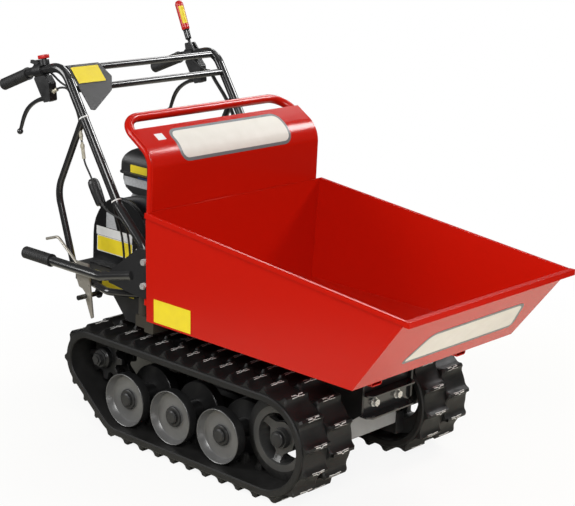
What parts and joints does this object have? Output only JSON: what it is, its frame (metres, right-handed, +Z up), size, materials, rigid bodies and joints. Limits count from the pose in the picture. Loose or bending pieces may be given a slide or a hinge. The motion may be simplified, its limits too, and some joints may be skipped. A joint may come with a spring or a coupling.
{
  "type": "tracked power carrier",
  "caption": "Tracked power carrier: tipping steel tub on rubber tracks, engine deck behind, and handlebars with clutch, steering and throttle controls.",
  "frame": {"origin": "centre of the bounding box in plan, on the ground under the track lugs", "axes": "+X forward to the tub's lip, +Y to the operator's left, +Z up"},
  "size_m": [1.5341, 0.712, 1.1315],
  "materials": {
    "red_paint": "glossy red paint on folded sheet",
    "black_paint": "satin black paint on steel",
    "zinc_steel": "zinc-plated steel",
    "grey_paint": "grey paint on pressed steel",
    "rubber": "soft black rubber",
    "track_rubber": "moulded black track rubber",
    "cast_alloy": "bare cast and pressed light alloy",
    "black_plastic": "black moulded plastic",
    "red_plastic": "red moulded plastic"
  },
  "bodies": {
    "carrier": {"chassis_frame": "black_paint", "front_channel": "black_paint", "chassis_fasteners": "zinc_steel", "tub_rest_beam": "black_paint", "cross_beams": "grey_paint", "track_beam_right": "black_paint", "track_beam_left": "black_paint", "roller_axles": "zinc_steel", "idler_tensioners": "zinc_steel", "track_right": "track_rubber", "track_left": "track_rubber", "gearbox": "cast_alloy", "drive_belt": "rubber", "engine_deck": "black_paint", "latch_striker": "black_paint", "belt_guard": "black_paint", "engine_block": "cast_alloy", "engine_shroud": "cast_alloy", "fuel_tank": "black_plastic", "air_cleaner": "black_plastic", "muffler": "cast_alloy", "recoil_starter": "black_plastic", "handlebar_right": "black_paint", "handlebar_left": "black_paint", "cross_bars": "black_paint", "handlebar_stays": "black_paint", "control_panel": "black_paint", "handlebar_grips": "rubber", "lever_perches": "black_plastic", "control_cables": "rubber"},
    "tub": {"tub_shell": "red_paint", "back_guard": "red_paint", "guard_hoop": "red_paint", "tub_underframe": "red_paint", "tipping_handle": "black_paint", "tipping_grip": "rubber", "handle_bolts": "zinc_steel"},
    "latch": {"latch_lever": "zinc_steel"},
    "drive_right": {"sprocket_right": "black_paint", "drive_axle_right": "zinc_steel"},
    "idler_right": {"idler_right": "grey_paint"},
    "roller_right_1": {"roller_right_1": "grey_paint"},
    "roller_right_2": {"roller_right_2": "grey_paint"},
    "roller_right_3": {"roller_right_3": "grey_paint"},
    "drive_left": {"sprocket_left": "black_paint", "drive_axle_left": "zinc_steel"},
    "idler_left": {"idler_left": "grey_paint"},
    "roller_left_1": {"roller_left_1": "grey_paint"},
    "roller_left_2": {"roller_left_2": "grey_paint"},
    "roller_left_3": {"roller_left_3": "grey_paint"},
    "engine_pulley": {"engine_pulley": "zinc_steel"},
    "gearbox_pulley": {"gearbox_pulley": "zinc_steel"},
    "drive_lever": {"drive_lever": "red_plastic"},
    "tension_arm": {"tension_arm": "zinc_steel"},
    "steering_right": {"steering_lever_right": "black_plastic"},
    "steering_left": {"steering_lever_left": "black_plastic"},
    "throttle": {"throttle_lever": "black_plastic"},
    "stop_button": {"stop_button": "red_plastic"},
    "gear_lever": {"gear_lever": "black_plastic"},
    "fuel_cap": {"fuel_cap": "black_plastic"}
  },
  "joints": [
    {"name": "tub_tip", "type": "hinge", "parent": "carrier", "child": "tub", "pos_m": [0.45, 0, 0.312], "axis": [0, 1, 0], "range_deg": [0, 70]},
    {"name": "latch_release", "type": "hinge", "parent": "tub", "child": "latch", "pos_m": [-0.398, -0.318, 0.455], "axis": [0, 1, 0], "range_deg": [-8, 0], "stiffness_Nm_per_rad": 6, "springref_deg": 11.46},
    {"name": "drive_right_spin", "type": "hinge", "parent": "carrier", "child": "drive_right", "pos_m": [-0.332, -0.25, 0.201], "axis": [0, 1, 0], "continuous": true},
    {"name": "idler_right_spin", "type": "hinge", "parent": "carrier", "child": "idler_right", "pos_m": [0.327, -0.25, 0.1535], "axis": [0, 1, 0], "continuous": true},
    {"name": "roller_right_1_spin", "type": "hinge", "parent": "carrier", "child": "roller_right_1", "pos_m": [-0.211, -0.25, 0.115], "axis": [0, 1, 0], "continuous": true},
    {"name": "roller_right_2_spin", "type": "hinge", "parent": "carrier", "child": "roller_right_2", "pos_m": [-0.033, -0.25, 0.115], "axis": [0, 1, 0], "continuous": true},
    {"name": "roller_right_3_spin", "type": "hinge", "parent": "carrier", "child": "roller_right_3", "pos_m": [0.145, -0.25, 0.115], "axis": [0, 1, 0], "continuous": true},
    {"name": "drive_left_spin", "type": "hinge", "parent": "carrier", "child": "drive_left", "pos_m": [-0.332, 0.25, 0.201], "axis": [0, 1, 0], "continuous": true},
    {"name": "idler_left_spin", "type": "hinge", "parent": "carrier", "child": "idler_left", "pos_m": [0.327, 0.25, 0.1535], "axis": [0, 1, 0], "continuous": true},
    {"name": "roller_left_1_spin", "type": "hinge", "parent": "carrier", "child": "roller_left_1", "pos_m": [-0.211, 0.25, 0.115], "axis": [0, 1, 0], "continuous": true},
    {"name": "roller_left_2_spin", "type": "hinge", "parent": "carrier", "child": "roller_left_2", "pos_m": [-0.033, 0.25, 0.115], "axis": [0, 1, 0], "continuous": true},
    {"name": "roller_left_3_spin", "type": "hinge", "parent": "carrier", "child": "roller_left_3", "pos_m": [0.145, 0.25, 0.115], "axis": [0, 1, 0], "continuous": true},
    {"name": "engine_pulley_spin", "type": "hinge", "parent": "carrier", "child": "engine_pulley", "pos_m": [-0.365, -0.132, 0.542], "axis": [0, 1, 0], "continuous": true},
    {"name": "gearbox_pulley_spin", "type": "hinge", "parent": "carrier", "child": "gearbox_pulley", "pos_m": [-0.345, -0.132, 0.3], "axis": [0, 1, 0], "continuous": true},
    {"name": "drive_engage", "type": "hinge", "parent": "carrier", "child": "drive_lever", "pos_m": [-0.60626, 0.296, 0.9996], "axis": [0, 1, 0], "range_deg": [-60, 0]},
    {"name": "belt_tension", "type": "hinge", "parent": "carrier", "child": "tension_arm", "pos_m": [-0.269, -0.116, 0.346], "axis": [0, 1, 0], "range_deg": [-8, 0]},
    {"name": "steer_right", "type": "hinge", "parent": "carrier", "child": "steering_right", "pos_m": [-0.56548, -0.296, 0.90583], "axis": [0, 1, 0], "range_deg": [0, 22], "stiffness_Nm_per_rad": 3, "springref_deg": -11.46},
    {"name": "steer_left", "type": "hinge", "parent": "carrier", "child": "steering_left", "pos_m": [-0.56548, 0.296, 0.90583], "axis": [0, 1, 0], "range_deg": [0, 22], "stiffness_Nm_per_rad": 3, "springref_deg": -11.46},
    {"name": "throttle_turn", "type": "hinge", "parent": "carrier", "child": "throttle", "pos_m": [-0.613, -0.296, 0.99373], "axis": [0, 1, 0], "range_deg": [0, 50]},
    {"name": "stop_press", "type": "slide", "parent": "carrier", "child": "stop_button", "axis": [-0.2504, 0, 0.9681], "range_m": [-0.0025, 0], "stiffness_N_per_m": 500, "springref_m": 0.002},
    {"name": "gear_shift", "type": "hinge", "parent": "carrier", "child": "gear_lever", "pos_m": [-0.4875, -0.1, 0.454], "axis": [0, 1, 0], "range_deg": [-10, 10]},
    {"name": "fuel_cap_turn", "type": "hinge", "parent": "carrier", "child": "fuel_cap", "pos_m": [-0.346, 0.02, 0.768], "axis": [0, 0, 1], "range_deg": [0, 90]}
  ],
  "couplings": [
    {"joint": "idler_right_spin", "follows": "drive_right_spin", "ratio": 0.6154},
    {"joint": "roller_right_1_spin", "follows": "drive_right_spin", "ratio": 0.987},
    {"joint": "roller_right_2_spin", "follows": "drive_right_spin", "ratio": 0.987},
    {"joint": "roller_right_3_spin", "follows": "drive_right_spin", "ratio": 0.987},
    {"joint": "idler_left_spin", "follows": "drive_left_spin", "ratio": 0.6154},
    {"joint": "roller_left_1_spin", "follows": "drive_left_spin", "ratio": 0.987},
    {"joint": "roller_left_2_spin", "follows": "drive_left_spin", "ratio": 0.987},
    {"joint": "roller_left_3_spin", "follows": "drive_left_spin", "ratio": 0.987},
    {"joint": "gearbox_pulley_spin", "follows": "engine_pulley_spin", "ratio": 0.6667},
    {"joint": "belt_tension", "follows": "drive_engage", "ratio": 0.13333}
  ]
}
